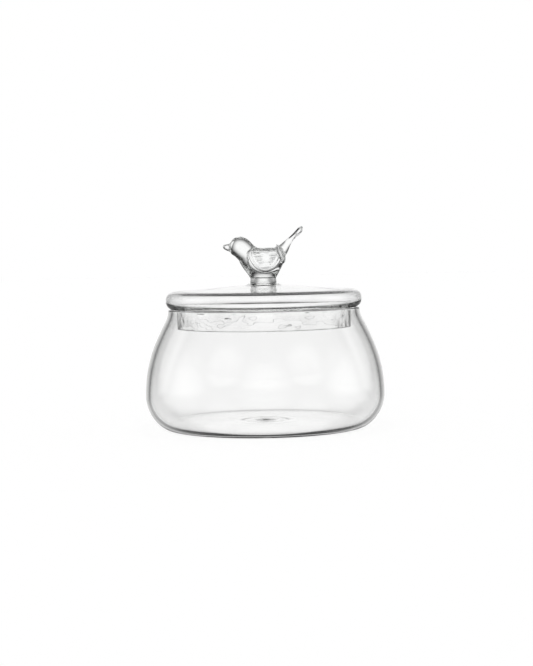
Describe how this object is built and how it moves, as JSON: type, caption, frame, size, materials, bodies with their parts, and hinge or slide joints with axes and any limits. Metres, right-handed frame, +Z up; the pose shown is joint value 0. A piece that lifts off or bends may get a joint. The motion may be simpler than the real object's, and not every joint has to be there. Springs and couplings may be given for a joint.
{
  "type": "sugar pot",
  "caption": "Squat clear-glass sugar pot, wide-bellied and empty, with a loose glass lid on a hollow rolled rim and a solid glass bird as its knob.",
  "frame": {"origin": "On the ground under the axis of the jar, in the middle of its standing ring.", "axes": "+Z up along the axis of the jar and the lid. The bird faces -X and its tail points to +X; the XZ plane is its mirror plane."},
  "size_m": [0.12, 0.12, 0.1009],
  "materials": {
    "blown_glass": "clear, fire-polished",
    "pressed_glass": "clear, solid, fire-polished"
  },
  "bodies": {
    "root": {"jar": "blown_glass", "lid": "blown_glass", "bird_knob": "pressed_glass"}
  },
  "joints": []
}
